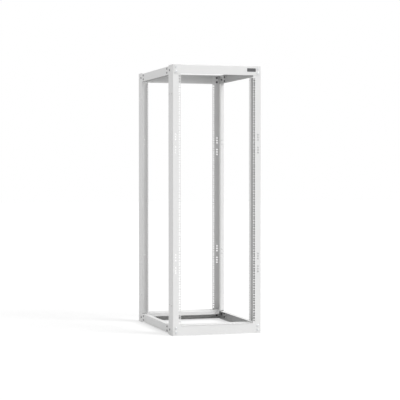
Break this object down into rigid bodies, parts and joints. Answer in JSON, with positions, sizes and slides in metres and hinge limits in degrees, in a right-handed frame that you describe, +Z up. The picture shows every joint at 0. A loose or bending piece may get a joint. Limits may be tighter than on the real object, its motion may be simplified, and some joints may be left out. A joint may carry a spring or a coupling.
{
  "type": "four post open frame rack",
  "caption": "Open frame rack: bent sheet steel posts with square unit holes, front and rear beams, side channels and corner plates.",
  "frame": {"origin": "middle of the footprint, on the floor", "axes": "+Z up, the front faces -Y, +X to the right as seen from the front"},
  "size_m": [0.55, 0.8, 1.597],
  "materials": {
    "frame_paint": "light grey fine texture powder coat",
    "fastener_zinc": "bright zinc plate on bolt heads",
    "fastener_black": "black phosphate on nuts and bolt ends",
    "bare_plate": "dark satin enamel on the blank plate of the top front beam"
  },
  "bodies": {
    "root": {"front_left_post": "frame_paint", "front_right_post": "frame_paint", "rear_left_post": "frame_paint", "rear_right_post": "frame_paint", "front_bottom_beam": "frame_paint", "rear_bottom_beam": "frame_paint", "left_bottom_channel": "frame_paint", "right_bottom_channel": "frame_paint", "front_left_bottom_splice": "frame_paint", "front_right_bottom_splice": "frame_paint", "rear_left_bottom_splice": "frame_paint", "rear_right_bottom_splice": "frame_paint", "front_top_beam": "frame_paint", "rear_top_beam": "frame_paint", "left_top_channel": "frame_paint", "right_top_channel": "frame_paint", "front_left_top_splice": "frame_paint", "front_right_top_splice": "frame_paint", "rear_left_top_splice": "frame_paint", "rear_right_top_splice": "frame_paint"}
  },
  "joints": []
}
